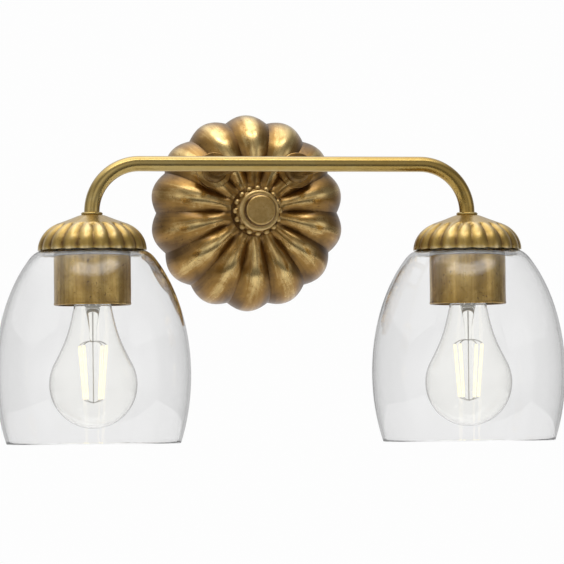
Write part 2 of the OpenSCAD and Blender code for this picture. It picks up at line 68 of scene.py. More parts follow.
lamp_x = {side: middle(f"arm_collar_{side}").x for side in SIDES}
lamp_y = middle("arm_collar_left").y
tube_r = lamp_y - low("arm_tube").y
bar_z = high("arm_tube").z - tube_r
bend_end = high("arm_collar_left").z
bend_r = bar_z - bend_end
post_x = high("post_right").x - (high("post_right").z - low("post_right").z) / 2
post_r = (high("post_right").z - low("post_right").z) / 2
collar_back = -high("post_collars").y
collar_front = -low("post_collars").y
plate_r = high("backplate").z
seat_h = -high("beaded_rosette").y
rosette_front = -low("beaded_rosette").y
knob_front = -low("cap_nut_knob").y
cap_r = (high("fluted_cap_left").x - low("fluted_cap_left").x) / 2
cap_low, cap_high = low("fluted_cap_left").z, high("fluted_cap_left").z
shade_r = (high("glass_shade_left").y - low("glass_shade_left").y) / 2
rim_z, neck_z = low("glass_shade_left").z, high("glass_shade_left").z
cup_low, cup_high = low("socket_cup_left").z, high("socket_cup_left").z
bulb_low = low("bulb_glass_left").z
bulb_r = (high("bulb_glass_left").y - low("bulb_glass_left").y) / 2
base_low = low("bulb_base_left").z
filament_high, filament_low = high("bulb_filaments_left").z, low("bulb_filaments_left").z
stem_low, stem_high = low("bulb_stem_left").z, high("bulb_stem_left").z
leads_low = low("bulb_leads_left").z


# ---------- mesh helpers ----------

def object_from(name, mesh, smooth_angle=40):
    """An object of a mesh, smooth except along edges sharper than smooth_angle degrees."""
    shape = bmesh.new()
    shape.from_mesh(mesh)
    bmesh.ops.remove_doubles(shape, verts=shape.verts, dist=1e-6)
    bmesh.ops.dissolve_degenerate(shape, edges=shape.edges, dist=1e-7)
    bmesh.ops.recalc_face_normals(shape, faces=shape.faces)
    shape.to_mesh(mesh)
    shape.free()
    mesh.polygons.foreach_set("use_smooth", [True] * len(mesh.polygons))
    mesh.set_sharp_from_angle(angle=math.radians(smooth_angle))
    made = bpy.data.objects.new(name, mesh)
    bpy.context.scene.collection.objects.link(made)
    return made


def skin(rings, joined_ends=False, capped=False):
    """Points and faces of a surface through closed rings that have equally many points."""
    count = len(rings[0])
    points = [tuple(p) for ring in rings for p in ring]
    pairs = [(k, k + 1) for k in range(len(rings) - 1)]
    if joined_ends:
        pairs.append((len(rings) - 1, 0))
    faces = []
    for a, b in pairs:
        for i in range(count):
            j = (i + 1) % count
            faces.append((a * count + i, a * count + j, b * count + j, b * count + i))
    if capped:
        last = (len(rings) - 1) * count
        faces.append(tuple(reversed(range(count))))
        faces.append(tuple(range(last, last + count)))
    return points, faces


def mesh_of(name, parts):
    """One mesh from several (points, faces) parts."""
    points, faces = [], []
    for part_points, part_faces in parts:
        start = len(points)
        points += part_points
        faces += [tuple(start + i for i in face) for face in part_faces]
    mesh = bpy.data.meshes.new(name)
    mesh.from_pydata(points, [], faces)
    mesh.validate()
    return mesh


def on_lamp(side):
    """Places (radius, angle, height) round a lamp's axis."""
    x = lamp_x[side]
    return lambda r, a, h: Vector((x + r * math.cos(a), lamp_y + r * math.sin(a), h))


def on_wall(x=0.0, z=0.0):
    """Places (radius, angle, distance from the wall) round an axis that stands out from the wall."""
    return lambda r, a, h: Vector((x + r * math.sin(a), -h, z + r * math.cos(a)))


def turned(outline, place, steps, closed=True):
    """A turned shape: a closed outline of (radius, height) points swept round an axis."""
    rings = [[place(r, 2 * math.pi * i / steps, h) for i in range(steps)] for r, h in outline]
    return skin(rings, joined_ends=closed)


def rounded(corners, steps=5):
    """A closed outline whose corners (radius, height, rounding) become short curves."""
    made = []
    count = len(corners)
    for i, (r, h, rounding) in enumerate(corners):
        here = Vector((r, h))
        if rounding <= 0:
            made.append((r, h))
            continue
        before = Vector(corners[i - 1][:2]) - here
        after = Vector(corners[(i + 1) % count][:2]) - here
        cut = min(rounding, 0.45 * before.length, 0.45 * after.length)
        start = here + before.normalized() * cut
        end = here + after.normalized() * cut
        for k in range(steps + 1):
            t = k / steps
            p = start * (1 - t) ** 2 + here * 2 * t * (1 - t) + end * t * t
            made.append((p.x, p.y))
    return made


def swept(route, radius, sides=24):
    """A round bar along a route of points, with flat ends. Its rings turn as little as they can."""
    rings = []
    across = None
    for i, here in enumerate(route):
        ahead = route[min(i + 1, len(route) - 1)] - route[max(i - 1, 0)]
        ahead.normalize()
        if across is None:
            across = ahead.orthogonal().normalized()
        across = (across - ahead * across.dot(ahead)).normalized()
        other = ahead.cross(across)
        rings.append([here + radius * (math.cos(2 * math.pi * k / sides) * across
                                       + math.sin(2 * math.pi * k / sides) * other)
                      for k in range(sides)])
    return skin(rings, capped=True)


def arc(centre, start, end, angle, steps):
    """Points on an arc about centre, from the direction start towards end, both radius vectors."""
    return [centre + start * math.cos(angle * k / steps) + end * math.sin(angle * k / steps)
            for k in range(steps + 1)]


def store(made, name, value_of):
    """Stores one number for each point of a piece, which its material reads by name."""
    values = [value_of(v.co) for v in made.data.vertices]
    made.data.attributes.new(name, "FLOAT", "POINT").data.foreach_set("value", values)


def store_vector(made, name, value_of):
    """Stores one vector for each point of a piece, which its material reads by name."""
    flat = [x for v in made.data.vertices for x in value_of(v.co)]
    made.data.attributes.new(name, "FLOAT_VECTOR", "POINT").data.foreach_set("vector", flat)


def piece(made, material, body, slot, *nodes):
    """Gives a piece its material, its body and the CAD nodes that it stands for. The slot is not
    used.
    """
    made.data.materials.clear()
    made.data.materials.append(material)
    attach(made, body)
    if nodes:
        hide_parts(*nodes)
    return made


# ---------- materials ----------

class Nodes:
    """A material's node tree, with short calls for the nodes that the materials here use."""

    def __init__(self, name):
        self.material = bpy.data.materials.new(name)
        self.material.use_nodes = True
        self.tree = self.material.node_tree
        self.shader = self.tree.nodes["Principled BSDF"]

    def node(self, kind, **settings):
        made = self.tree.nodes.new(kind)
        for key, value in settings.items():
            setattr(made, key, value)
        return made

    def link(self, output, input_socket):
        self.tree.links.new(output, input_socket)

    def set(self, **values):
        for key, value in values.items():
            self.shader.inputs[key.replace("_", " ")].default_value = value

    def place(self):
        """Position on the piece, in metres."""
        return self.node("ShaderNodeTexCoord").outputs["Object"]

    def attribute(self, name, output="Fac"):
        return self.node("ShaderNodeAttribute", attribute_name=name).outputs[output]

    def stretched(self, vector, scale):
        mapping = self.node("ShaderNodeMapping")
        mapping.inputs["Scale"].default_value = scale
        self.link(vector, mapping.inputs["Vector"])
        return mapping.outputs["Vector"]

    def noise(self, vector, scale, detail=3.0, roughness=0.55, distortion=0.0):
        made = self.node("ShaderNodeTexNoise")
        self.link(vector, made.inputs["Vector"])
        for key, value in (("Scale", scale), ("Detail", detail), ("Roughness", roughness),
                           ("Distortion", distortion)):
            made.inputs[key].default_value = value
        return made.outputs["Fac"]

    def math(self, operation, a, b=None, clamp=False):
        made = self.node("ShaderNodeMath", operation=operation, use_clamp=clamp)
        for value, socket in ((a, made.inputs[0]), (b, made.inputs[1])):
            if value is None:
                continue
            if isinstance(value, (int, float)):
                socket.default_value = value
            else:
                self.link(value, socket)
        return made.outputs[0]

    def ramp(self, value, stops):
        """A smooth colour ramp through (position, colour) stops."""
        made = self.node("ShaderNodeValToRGB")
        elements = made.color_ramp.elements
        while len(elements) < len(stops):
            elements.new(0.5)
        for element, (position, colour) in zip(elements, stops):
            element.position = position
            element.color = (*colour, 1.0)
        self.link(value, made.inputs["Fac"])
        return made.outputs["Color"]

    def spread(self, value, from_low, from_high, to_low, to_high):
        made = self.node("ShaderNodeMapRange")
        for key, number in (("From Min", from_low), ("From Max", from_high),
                            ("To Min", to_low), ("To Max", to_high)):
            made.inputs[key].default_value = number
        self.link(value, made.inputs["Value"])
        return made.outputs["Result"]

    def bump(self, height, distance, strength=1.0):
        made = self.node("ShaderNodeBump")
        made.inputs["Distance"].default_value = distance
        made.inputs["Strength"].default_value = strength
        self.link(height, made.inputs["Height"])
        self.link(made.outputs["Normal"], self.shader.inputs["Normal"])


def aged_brass(name, bright, middle_tone, dark, stretch, wear=0.5, speckle=0.5, gloss=0.3,
               relief=0.6):
    """Antique brass: gold rubbed bright on what stands proud, with brown patina in the hollows,
    streaks along the grain and dark specks, all under lacquer. A piece's stored patina, with painted
    shade and highlight, sets how dark each point is; its "grain" is the position that streaks
    follow."""
    n = Nodes(name)
    grain = n.attribute("grain", "Vector")
    streak = n.noise(n.stretched(grain, stretch), 260, 4.0, 0.6, 0.4)
    patch = n.noise(grain, 95, 3.0, 0.6, 0.6)
    fine = n.noise(grain, 1500, 2.0, 0.5)
    speck = n.noise(grain, 520, 2.0, 0.7)
    mottle = n.math("ADD", n.math("MULTIPLY", streak, 0.55), n.math("MULTIPLY", patch, 0.45))
    age_and_shade = n.math("MULTIPLY", n.math("SUBTRACT", mottle, 0.5), 2.6 * wear)
    # Patina, painted shade and painted highlight stored on the piece darken or lighten the colour
    age_and_shade = n.math("ADD", age_and_shade, n.math("MULTIPLY", n.attribute("patina_and_shade"), 0.75))
    age_and_shade = n.math("ADD", age_and_shade, n.math("MULTIPLY", n.math("SUBTRACT", fine, 0.5), 0.3 * wear))
    age_and_shade = n.math("ADD", age_and_shade, 0.25, clamp=True)
    age_and_shade = n.math("ADD", age_and_shade, n.spread(speck, 0.64, 0.74, 0.0, speckle), clamp=True)
    colour = n.ramp(age_and_shade, ((0.0, bright), (0.45, middle_tone), (1.0, dark)))
    n.link(colour, n.shader.inputs["Base Color"])
    n.set(Metallic=1.0, Coat_Weight=0.4, Coat_Roughness=0.18)
    n.link(n.spread(age_and_shade, 0.0, 1.0, gloss, gloss + 0.24), n.shader.inputs["Roughness"])
    height = n.math("ADD", n.math("MULTIPLY", streak, 0.6), n.math("MULTIPLY", fine, 0.25))
    n.bump(height, 0.00012, relief)
    return n.material


def plain_metal(name, colour, roughness, scale=(1, 1, 1), shade=0.15):
    """Worked metal: fine drawn lines along the stretched direction and a slight stain."""
    n = Nodes(name)
    place = n.place()
    lines = n.noise(n.stretched(place, scale), 900, 3.0, 0.6)
    stain = n.noise(place, 70, 3.0, 0.6)
    mixed = n.math("ADD", n.math("MULTIPLY", lines, 0.5), n.math("MULTIPLY", stain, 0.5))
    dim = tuple(c * (1 - 2.2 * shade) for c in colour)
    n.link(n.ramp(mixed, ((0.3, dim), (0.65, colour))), n.shader.inputs["Base Color"])
    n.set(Metallic=1.0)
    n.link(n.spread(mixed, 0.3, 0.7, roughness, roughness + 0.15), n.shader.inputs["Roughness"])
    n.bump(lines, 0.00004, 0.5)
    return n.material


def clear_glass(name, tint, roughness, ripple, ior, ripple_scale=40, glow=0.0, density=0.0):
    """Blown clear glass with faint waves. The glow is light that a lit lamp's glass scatters, and
    the density is how much the glass darkens where it is seen edge on."""
    n = Nodes(name)
    n.set(Base_Color=(*tint, 1.0), Transmission_Weight=1.0, IOR=ior, Roughness=roughness,
          Emission_Color=(1.0, 0.96, 0.86, 1.0), Emission_Strength=glow)
    waves = n.noise(n.stretched(n.place(), (1, 1, 0.4)), ripple_scale, 1.5, 0.4)
    n.bump(waves, ripple, 0.6)
    if density:
        body = n.node("ShaderNodeVolumeAbsorption")
        body.inputs["Color"].default_value = (0.82, 0.82, 0.82, 1.0)
        body.inputs["Density"].default_value = density
        output = next(x for x in n.tree.nodes if x.bl_idname == "ShaderNodeOutputMaterial")
        n.link(body.outputs["Volume"], output.inputs["Volume"])
    return n.material


def coated(name, colour, other, roughness, scale, coat=0.0, depth=0.00005):
    """A non-metal with mottled colour and fine relief, such as porcelain, rubber or plastic."""
    n = Nodes(name)
    place = n.place()
    mottle = n.noise(place, scale, 4.0, 0.6)
    fine = n.noise(place, scale * 9, 2.0, 0.5)
    n.link(n.ramp(mottle, ((0.3, other), (0.7, colour))), n.shader.inputs["Base Color"])
    n.link(n.spread(fine, 0.3, 0.7, roughness, roughness + 0.12), n.shader.inputs["Roughness"])
    n.set(Coat_Weight=coat, Coat_Roughness=0.08)
    n.bump(fine, depth, 0.5)
    return n.material


def glowing(name, colour, strength):
    """The phosphor coat of a lit filament stick, a little uneven along its length."""
    n = Nodes(name)
    uneven = n.noise(n.place(), 700, 2.0, 0.5)
    n.link(n.ramp(uneven, ((0.3, tuple(c * 0.8 for c in colour)), (0.6, colour))),
           n.shader.inputs["Emission Color"])
    n.set(Base_Color=(0.85, 0.68, 0.32, 1.0), Roughness=0.5, Emission_Strength=strength)
    return n.material


PATINA_AND_SHADE = (0.13, 0.066, 0.016)

plate_brass = aged_brass("aged_brass_plate", (0.78, 0.57, 0.24), (0.33, 0.18, 0.04), PATINA_AND_SHADE,
                         (1, 1, 0.1), 0.7, 0.35, 0.2)
cap_brass = aged_brass("aged_brass_cap", (0.68, 0.54, 0.28), (0.47, 0.31, 0.08), PATINA_AND_SHADE,
                       (1, 1, 0.3), 0.4, 0.25, 0.26)
cup_brass = aged_brass("aged_brass_cup", (0.72, 0.49, 0.14), (0.43, 0.255, 0.045), PATINA_AND_SHADE,
                       (1, 1, 0.06), 0.7, 0.9, 0.26)
knob_brass = aged_brass("rubbed_brass_knob", (0.74, 0.55, 0.25), (0.46, 0.295, 0.095), PATINA_AND_SHADE,
                        (1, 1, 1), 0.35, 0.3, 0.3)
arm_brass = aged_brass("rubbed_brass_arm", (0.50, 0.395, 0.165), (0.43, 0.275, 0.06), PATINA_AND_SHADE,
                       (0.08, 1, 1), 0.25, 0.12, 0.16, 0.12)
zinc = plain_metal("zinc_steel", (0.62, 0.63, 0.64), 0.3, (0.1, 1, 1))
lamp_cap = plain_metal("lamp_cap_metal", (0.70, 0.68, 0.64), 0.25)
contact = plain_metal("contact_brass", (0.66, 0.50, 0.22), 0.3)
copper = plain_metal("bare_copper", (0.72, 0.38, 0.22), 0.28)
wire_steel = plain_metal("lamp_support_wire", (0.8, 0.79, 0.76), 0.3)
green_paint = coated("green_paint", (0.06, 0.30, 0.13), (0.04, 0.22, 0.10), 0.35, 300, 0.3)
porcelain = coated("glazed_porcelain", (0.82, 0.80, 0.74), (0.72, 0.70, 0.64), 0.15, 90, 0.8)
rubber = coated("gasket_rubber", (0.72, 0.72, 0.70), (0.62, 0.62, 0.60), 0.55, 250, 0.0, 0.0001)
lead_skin = coated("lead_insulation", (0.045, 0.045, 0.05), (0.03, 0.03, 0.03), 0.45, 350)
black_glass = coated("lamp_insulator", (0.02, 0.02, 0.025), (0.012, 0.012, 0.014), 0.1, 200, 0.5)
shade_glass = clear_glass("shade_glass", (0.995, 0.995, 0.995), 0.0, 0.0004, 1.40, density=110.0)
lamp_glass = clear_glass("lamp_glass", (0.995, 0.995, 0.985), 0.06, 0.0001, 1.27, glow=0.018)
stem_glass = clear_glass("lamp_stem_glass", (0.98, 0.985, 0.975), 0.02, 0.0002, 1.36,
                         ripple_scale=120, glow=0.05)
filament_glow = glowing("lamp_filament", (1.0, 0.94, 0.72), 1.05)


# ---------- wall plate ----------

PLATE_LOBES = 14
PLATE_CREST_R = 38 * MM
PLATE_H = 33 * MM
PLATE_SEAT_R = 18 * MM
PLATE_GROOVE = 4.4 * MM
PLATE_SHEET = 1.6 * MM
PLATE_HOLE_R = 5.2 * MM
BOSS_R = 12.5 * MM
BOSS_BACK = 25 * MM
POST_BORE_R = 3.2 * MM


def lobe(a, lobes):
    """1 along the middle of a lobe, 0 in the groove between two lobes."""
    return abs(math.cos(lobes * a / 2))


def plate_sections():
    """(radius, height, outward r, outward h, groove depth) from the rim in to the middle."""
    sections = []
    for k in range(33):
        u = math.pi / 2 * k / 32
        sections.append((PLATE_CREST_R + (plate_r - PLATE_CREST_R) * math.cos(u),
                         PLATE_H * math.sin(u), math.cos(u), math.sin(u), PLATE_GROOVE))
    for k in range(1, 25):
        s = k / 24
        sections.append((PLATE_CREST_R - (PLATE_CREST_R - PLATE_SEAT_R) * s,
                         PLATE_H - (PLATE_H - seat_h) * (1 - math.cos(math.pi * s)) / 2,
                         0.0, 1.0, PLATE_GROOVE * (1 - s ** 3)))
    sections.append((PLATE_HOLE_R, seat_h, 0.0, 1.0, 0.0))
    return sections


def lobed_rings(sections, lobes, steps, place, inset):
    """Rings of a lobed sheet's outer skin, or of its inner skin when inset is its thickness."""
    count = lobes * steps
    rings = []
    for radius, height, out_r, out_h, groove in sections:
        base = max(height, out_h * inset)
        ring = []
        for i in range(count):
            a = 2 * math.pi * i / count
            depth = groove * (1 - lobe(a, lobes)) + inset
            ring.append(place(radius - out_r * depth, a, base - out_h * depth))
        rings.append(ring)
    return rings


def make_backplate():
    place = on_wall()
    sections = plate_sections()
    outer = lobed_rings(sections, PLATE_LOBES, 24, place, 0.0)
    inner = lobed_rings(sections, PLATE_LOBES, 24, place, PLATE_SHEET)
    parts = [skin(outer + inner[::-1], joined_ends=True)]
    for sign in (-1, 1):
        outline = rounded([(post_r, BOSS_BACK, 0), (BOSS_R, BOSS_BACK, 0),
                           (BOSS_R, collar_back, 1.0 * MM), (post_r, collar_back, 0)])
        parts.append(turned(outline, on_wall(sign * post_x, bar_z), 64))
    plate = object_from("backplate_sheet", mesh_of("backplate_sheet", parts), 50)

    def patina_and_shade(co):
        """Patina deep in the grooves, patina with painted shade by the knob, painted shade towards
        the rim but less at its top, and crests lighter: rubbed wear with a painted highlight."""
        a = math.atan2(co.x, co.z)
        r = math.hypot(co.x, co.z)
        groove = (1 - lobe(a, PLATE_LOBES)) ** 1.1
        crest_wear_and_highlight = max(0.0, lobe(a, PLATE_LOBES) - 0.8) / 0.2 * min(1.0, max(0.0, r / MM - 24) / 14)
        knob_patina_and_shade = max(0.0, 1 - max(0.0, r - PLATE_SEAT_R) / (16 * MM))
        # Painted shade: darker towards the rim, less at the top where light falls from above
        rim = max(0.0, (r - 47 * MM) / (22 * MM)) * (1 - 0.85 * max(0.0, co.z / (r + MM)))
        return min(1.0, groove * 0.7 + 0.15 * knob_patina_and_shade + 0.6 * rim - 0.3 * crest_wear_and_highlight)

    def grain(co):
        r = math.hypot(co.x, co.z) + 1e-9
        return (co.x / r * 45 * MM, co.z / r * 45 * MM, r)

    store(plate, "patina_and_shade", patina_and_shade)
    store_vector(plate, "grain", grain)
    piece(plate, plate_brass, FIXED, "aged_brass_plate", "backplate")


make_backplate()


# ---------- arm, posts and collars ----------

def arm_route():
    """The arm tube's axis, from the left cap over to the right one."""
    left_x, right_x = lamp_x["left"], lamp_x["right"]
    end = low("arm_collar_left").z - 2 * MM
    left_centre = Vector((left_x + bend_r, lamp_y, bend_end))
    right_centre = Vector((right_x - bend_r, lamp_y, bend_end))
    out, up = Vector((bend_r, 0, 0)), Vector((0, 0, bend_r))
    route = [Vector((left_x, lamp_y, end))]
    route += arc(left_centre, -out, up, math.pi / 2, 32)
    span = right_centre.x - left_centre.x
    route += [left_centre + up + Vector((span * k / 40, 0, 0)) for k in range(1, 40)]
    route += arc(right_centre, up, out, math.pi / 2, 32)
    route.append(Vector((right_x, lamp_y, end)))
    return route


def even_patina_and_shade(made, patina_and_shade=0.0):
    """The same patina and painted shade all over, with grain that follows the piece's own position.
    """
    store(made, "patina_and_shade", lambda co: patina_and_shade)
    store_vector(made, "grain", tuple)


def make_arm():
    arm = object_from("arm_tube_bent", mesh_of("arm_tube_bent", [swept(arm_route(), tube_r, 64)]))
    # Painted shade: the bar darkens over its right half, which takes less light
    store(arm, "patina_and_shade", lambda co: 0.28 * max(0.0, min(1.0, co.x / (140 * MM))))
    store_vector(arm, "grain", tuple)
    piece(arm, arm_brass, FIXED, "rubbed_brass_arm", "arm_tube")


def make_posts():
    for side, sign in (("left", -1), ("right", 1)):
        back = -high(f"post_{side}").y
        outline = rounded([(POST_BORE_R, back, 0), (post_r, back, 0.5 * MM),
                           (post_r, -lamp_y, 0), (POST_BORE_R, -lamp_y, 0)])
        post = object_from(f"post_{side}_tube", mesh_of(
            "post", [turned(outline, on_wall(sign * post_x, bar_z), 48)]))
        even_patina_and_shade(post)
        piece(post, arm_brass, FIXED, "rubbed_brass_arm", f"post_{side}")


def make_post_collars():
    foot = (high("post_collars").x - low("post_collars").x) / 2 - post_x
    parts = []
    for sign in (-1, 1):
        outline = rounded([(post_r, collar_back, 0), (foot - 0.3 * MM, collar_back, 0.3 * MM),
                           (foot, collar_back + 0.8 * MM, 0.4 * MM),
                           (foot - 0.8 * MM, collar_back + 2 * MM, 0.5 * MM),
                           (foot - 2.4 * MM, collar_front, 0.5 * MM), (post_r, collar_front, 0)])
        parts.append(turned(outline, on_wall(sign * post_x, bar_z), 64))
    collars = object_from("post_collar_pair", mesh_of("post_collar_pair", parts))
    # Painted shade: the collars sit under the bar and are made dark all over
    even_patina_and_shade(collars, 0.75)
    piece(collars, knob_brass, FIXED, "rubbed_brass_arm", "post_collars")


def make_arm_collar(side):
    node = f"arm_collar_{side}"
    outer = (high(node).x - low(node).x) / 2
    start, end = low(node).z, high(node).z
    outline = rounded([(tube_r, start, 0), (outer - 0.4 * MM, start, 0.2 * MM),
                       (outer, start + 0.5 * MM, 0.4 * MM), (outer, start + 1.3 * MM, 0.4 * MM),
                       (outer - 0.9 * MM, end, 0.5 * MM), (tube_r, end, 0)])
    collar = object_from(f"arm_collar_{side}_ring", mesh_of(
        "arm_collar", [turned(outline, on_lamp(side), 64)]))
    even_patina_and_shade(collar)
    piece(collar, arm_brass, FIXED, "rubbed_brass_arm", node)


make_arm()
make_posts()
make_post_collars()


# ---------- rosette and knob ----------

BEADS = 16
BEAD_RING_R = 15.5 * MM
BEAD_R = 2.2 * MM
BEAD_H = 38.4 * MM
ROSETTE_HOLE_R = 5.1 * MM
KNOB_DISC_R = 10.6 * MM


def ball(centre, radius, steps=24):
    rings = []
    for k in range(1, steps // 2):
        v = math.pi * k / (steps // 2)
        rings.append([centre + radius * Vector((math.sin(v) * math.cos(2 * math.pi * i / steps),
                                                math.sin(v) * math.sin(2 * math.pi * i / steps),
                                                math.cos(v))) for i in range(steps)])
    return skin(rings, capped=True)


def make_rosette():
    foot = high("beaded_rosette").z
    outline = rounded([(ROSETTE_HOLE_R, seat_h, 0), (foot - 0.4 * MM, seat_h, 0.2 * MM),
                       (foot, seat_h + 1.2 * MM, 0.8 * MM), (foot - 1.3 * MM, seat_h + 3 * MM, MM),
                       (foot - 2.3 * MM, seat_h + 5 * MM, MM),
                       (foot - 2.3 * MM, BEAD_H + 0.4 * MM, 0.8 * MM),
                       (foot - 3.8 * MM, rosette_front - 1.2 * MM, 0.6 * MM),
                       (foot - 4.6 * MM, rosette_front, 0.5 * MM),
                       (ROSETTE_HOLE_R, rosette_front, 0)])
    parts = [turned(outline, on_wall(), 96)]
    for i in range(BEADS):
        parts.append(ball(on_wall()(BEAD_RING_R, 2 * math.pi * i / BEADS, BEAD_H), BEAD_R))
    rosette = object_from("rosette_ring", mesh_of("rosette_ring", parts), 45)

    def patina_and_shade(co):
        r, h = math.hypot(co.x, co.z), -co.y
        proud = (r - BEAD_RING_R + 0.5 * MM) / (3 * MM) + (h - BEAD_H) / (3.5 * MM)
        return max(0.0, min(1.0, 0.75 - 0.75 * proud))

    store(rosette, "patina_and_shade", patina_and_shade)
    store_vector(rosette, "grain", tuple)
    piece(rosette, knob_brass, "rosette", "rubbed_brass_knob", "beaded_rosette")


def make_knob():
    flange = high("cap_nut_knob").z
    flange_front = rosette_front + 3 * MM
    disc = KNOB_DISC_R
    outline = rounded([(0, rosette_front, 0), (flange - 0.8 * MM, rosette_front, 0.4 * MM),
                       (flange, rosette_front + 0.9 * MM, 0.7 * MM),
                       (flange, flange_front - 0.9 * MM, 0.7 * MM),
                       (flange - 1.0 * MM, flange_front, 0.6 * MM),
                       (disc + 1.2 * MM, flange_front, 0.3 * MM),
                       (disc, flange_front + 1.2 * MM, 0.9 * MM),
                       (disc, knob_front - 1.3 * MM, 0.8 * MM),
                       (disc - 1.2 * MM, knob_front - 0.3 * MM, 0.8 * MM),
                       (disc / 2, knob_front - 0.1 * MM, 2 * MM), (0, knob_front, 0)])
    knob = object_from("knob_turned", mesh_of(
        "knob_turned", [turned(outline, on_wall(), 128, closed=False)]), 45)

    def patina_and_shade(co):
        r, h = math.hypot(co.x, co.z), -co.y
        # Painted shade: the disc's side wall dark all round, darkening in the corner where the disc
        # meets the flange; the front face a little darker
        if abs(r - disc) < 0.8 * MM and h < knob_front - 1.1 * MM:
            return 1.0
        step = math.hypot(r - disc - 0.6 * MM, h - flange_front - 0.6 * MM)
        return max(0.0, 0.9 - step / (1.8 * MM)) + (0.25 if h > knob_front - MM else 0.0)

    store(knob, "patina_and_shade", patina_and_shade)
    store_vector(knob, "grain", tuple)
    piece(knob, knob_brass, "knob", "rubbed_brass_knob", "cap_nut_knob")


make_rosette()
make_knob()


# ---------- fluted caps ----------

CAP_LOBES = 20
CAP_GROOVE = 1.5 * MM
CAP_CREST_R = 15 * MM
CAP_FLUTE_TOP_R = 23.5 * MM
CAP_RISE = 19.7 * MM
CAP_SHEET = 1.2 * MM
CAP_SEAT_R = 7.6 * MM
CAP_HOLE_R = 5.0 * MM


def cap_sections():
    """Sections of a fluted cap from its scalloped edge up to the hole, heights from its edge."""
    top = cap_high - cap_low
    stop = math.acos((CAP_FLUTE_TOP_R - CAP_CREST_R) / (cap_r - CAP_CREST_R))
    sections = [(cap_r, 0.0, 1.0, -0.4, CAP_GROOVE)]
    for k in range(1, 29):
        v = stop * k / 28
        fade = min(1.0, (1 - k / 28) / 0.14)
        sections.append((CAP_CREST_R + (cap_r - CAP_CREST_R) * math.cos(v), CAP_RISE * math.sin(v),
                         math.cos(v), math.sin(v), CAP_GROOVE * math.sin(fade * math.pi / 2)))
    start, end = Vector(sections[-1][:2]), Vector((CAP_SEAT_R, top))
    for k in range(1, 13):
        t = k / 12
        bow = 1.1 * MM * math.sin(math.pi * t)
        sections.append((start.x + (end.x - start.x) * t - bow * 0.3,
                         start.y + (end.y - start.y) * (1 - (1 - t) ** 1.3) - bow * 0.4,
                         0.4, 0.9, 0.0))
    sections.append((CAP_HOLE_R, top, 0.0, 1.0, 0.0))
    return sections


def make_cap(side):
    centre = on_lamp(side)

    def place(r, a, h):
        return centre(r, a, cap_low + h)

    sections = cap_sections()
    outer = lobed_rings(sections, CAP_LOBES, 16, place, 0.0)
    inner = lobed_rings(sections, CAP_LOBES, 16, place, CAP_SHEET)
    mesh = mesh_of(f"cap_{side}", [skin(outer + inner[::-1], joined_ends=True)])
    cap = object_from(f"fluted_cap_{side}_shell", mesh, 50)
    x, y = lamp_x[side], lamp_y

    def patina_and_shade(co):
        a = math.atan2(co.y - y, co.x - x)
        r = math.hypot(co.x - x, co.y - y)
        # Patina in the flutes; painted shade in a band just above the edge, fading upwards, on the
        # part that faces away from the light; the edge itself lighter: rubbed wear with a painted
        # highlight
        deep = 0.6 * (1 - lobe(a, CAP_LOBES)) ** 1.4 if r > CAP_FLUTE_TOP_R else 0.15
        rise = (co.z - cap_low) / MM
        edge = 0.3 if rise < 1.3 else 0.0
        lower_band_painted_shade = 0.0
        if rise < 14:
            lower_band_painted_shade = max(0.0, min(1.0, (rise - 1.2) / 2) * (1 - (rise - 3) / 11))
        return min(1.0, deep + 0.35 * lower_band_painted_shade - edge)

    def grain(co):
        r = math.hypot(co.x - x, co.y - y) + 1e-9
        return ((co.x - x) / r * 30 * MM + x, (co.y - y) / r * 30 * MM, co.z)

    store(cap, "patina_and_shade", patina_and_shade)
    store_vector(cap, "grain", grain)
    piece(cap, cap_brass, FIXED, "aged_brass_cap", f"fluted_cap_{side}")


# ---------- shades and cups ----------

SHADE_T = 2.2 * MM
SHADE_HALF_H = 103 * MM
SHADE_MID = neck_z - 85.5 * MM
SHOULDER_JOIN = neck_z - 6.5 * MM
SHOULDER_TURN = math.radians(52.4)
NECK_HOLE_R = 21.6 * MM
CUP_THREAD_R = 21.26 * MM
CUP_THREAD_H = 8 * MM
CUP_SHEET = 1.2 * MM


def shade_at(z, radius, half_height):
    return radius * math.sqrt(1 - ((z - SHADE_MID) / half_height) ** 2)


def shade_line(inset):
    """One skin of the shade from the neck hole over the shoulder and down to the rim."""
    turn_r = (neck_z - SHOULDER_JOIN) / (1 - math.cos(SHOULDER_TURN))
    start = shade_at(SHOULDER_JOIN, shade_r, SHADE_HALF_H) - turn_r * math.sin(SHOULDER_TURN)
    line = [(NECK_HOLE_R, neck_z - inset)]
    for k in range(13):
        a = SHOULDER_TURN * k / 12
        line.append((start + (turn_r - inset) * math.sin(a),
                     neck_z - turn_r + (turn_r - inset) * math.cos(a)))
    for k in range(1, 61):
        z = SHOULDER_JOIN + (rim_z + MM - SHOULDER_JOIN) * k / 60
        line.append((shade_at(z, shade_r - inset, SHADE_HALF_H - inset), z))
    return line


def make_shade(side):
    lip = shade_at(rim_z + MM, shade_r, SHADE_HALF_H) - SHADE_T / 2
    rim = [(lip + SHADE_T / 2 * math.cos(a), rim_z + MM + MM * math.sin(a))
           for a in (math.radians(-20 * k) for k in range(1, 9))]
    outline = shade_line(0.0) + rim + shade_line(SHADE_T)[::-1]
    shade = object_from(f"glass_shade_{side}_blown", mesh_of(
        "glass_shade", [turned(outline, on_lamp(side), 192)]), 60)
    piece(shade, shade_glass, f"shade_{side}", "shade_glass", f"glass_shade_{side}")


